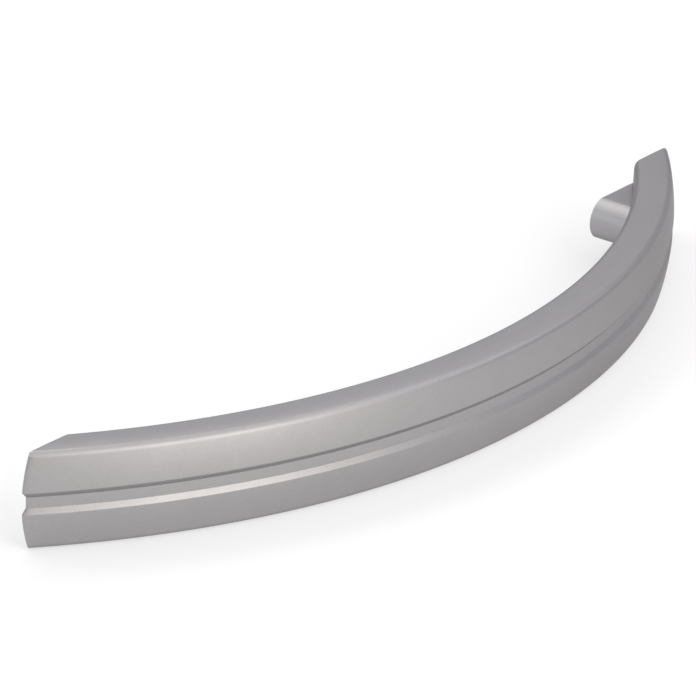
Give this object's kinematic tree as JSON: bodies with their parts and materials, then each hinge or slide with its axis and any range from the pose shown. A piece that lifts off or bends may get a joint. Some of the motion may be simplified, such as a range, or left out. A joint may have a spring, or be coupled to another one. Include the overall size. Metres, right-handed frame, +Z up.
{
  "type": "bridge pull handle",
  "caption": "Bowed pull handle cast in metal, with a crowned and grooved front and rounded feet tapped for screws through a door or drawer front.",
  "frame": {"origin": "on the plane of the door, midway between the fixing holes", "axes": "+X along the handle, +Y into the door, so that the bow stands out along -Y, +Z up"},
  "size_m": [0.1928, 0.0356, 0.0176],
  "materials": {
    "satin_finish": "matt metallic with a very fine sparkle, aluminium effect"
  },
  "bodies": {
    "root": {"handle": "satin_finish"}
  },
  "joints": []
}
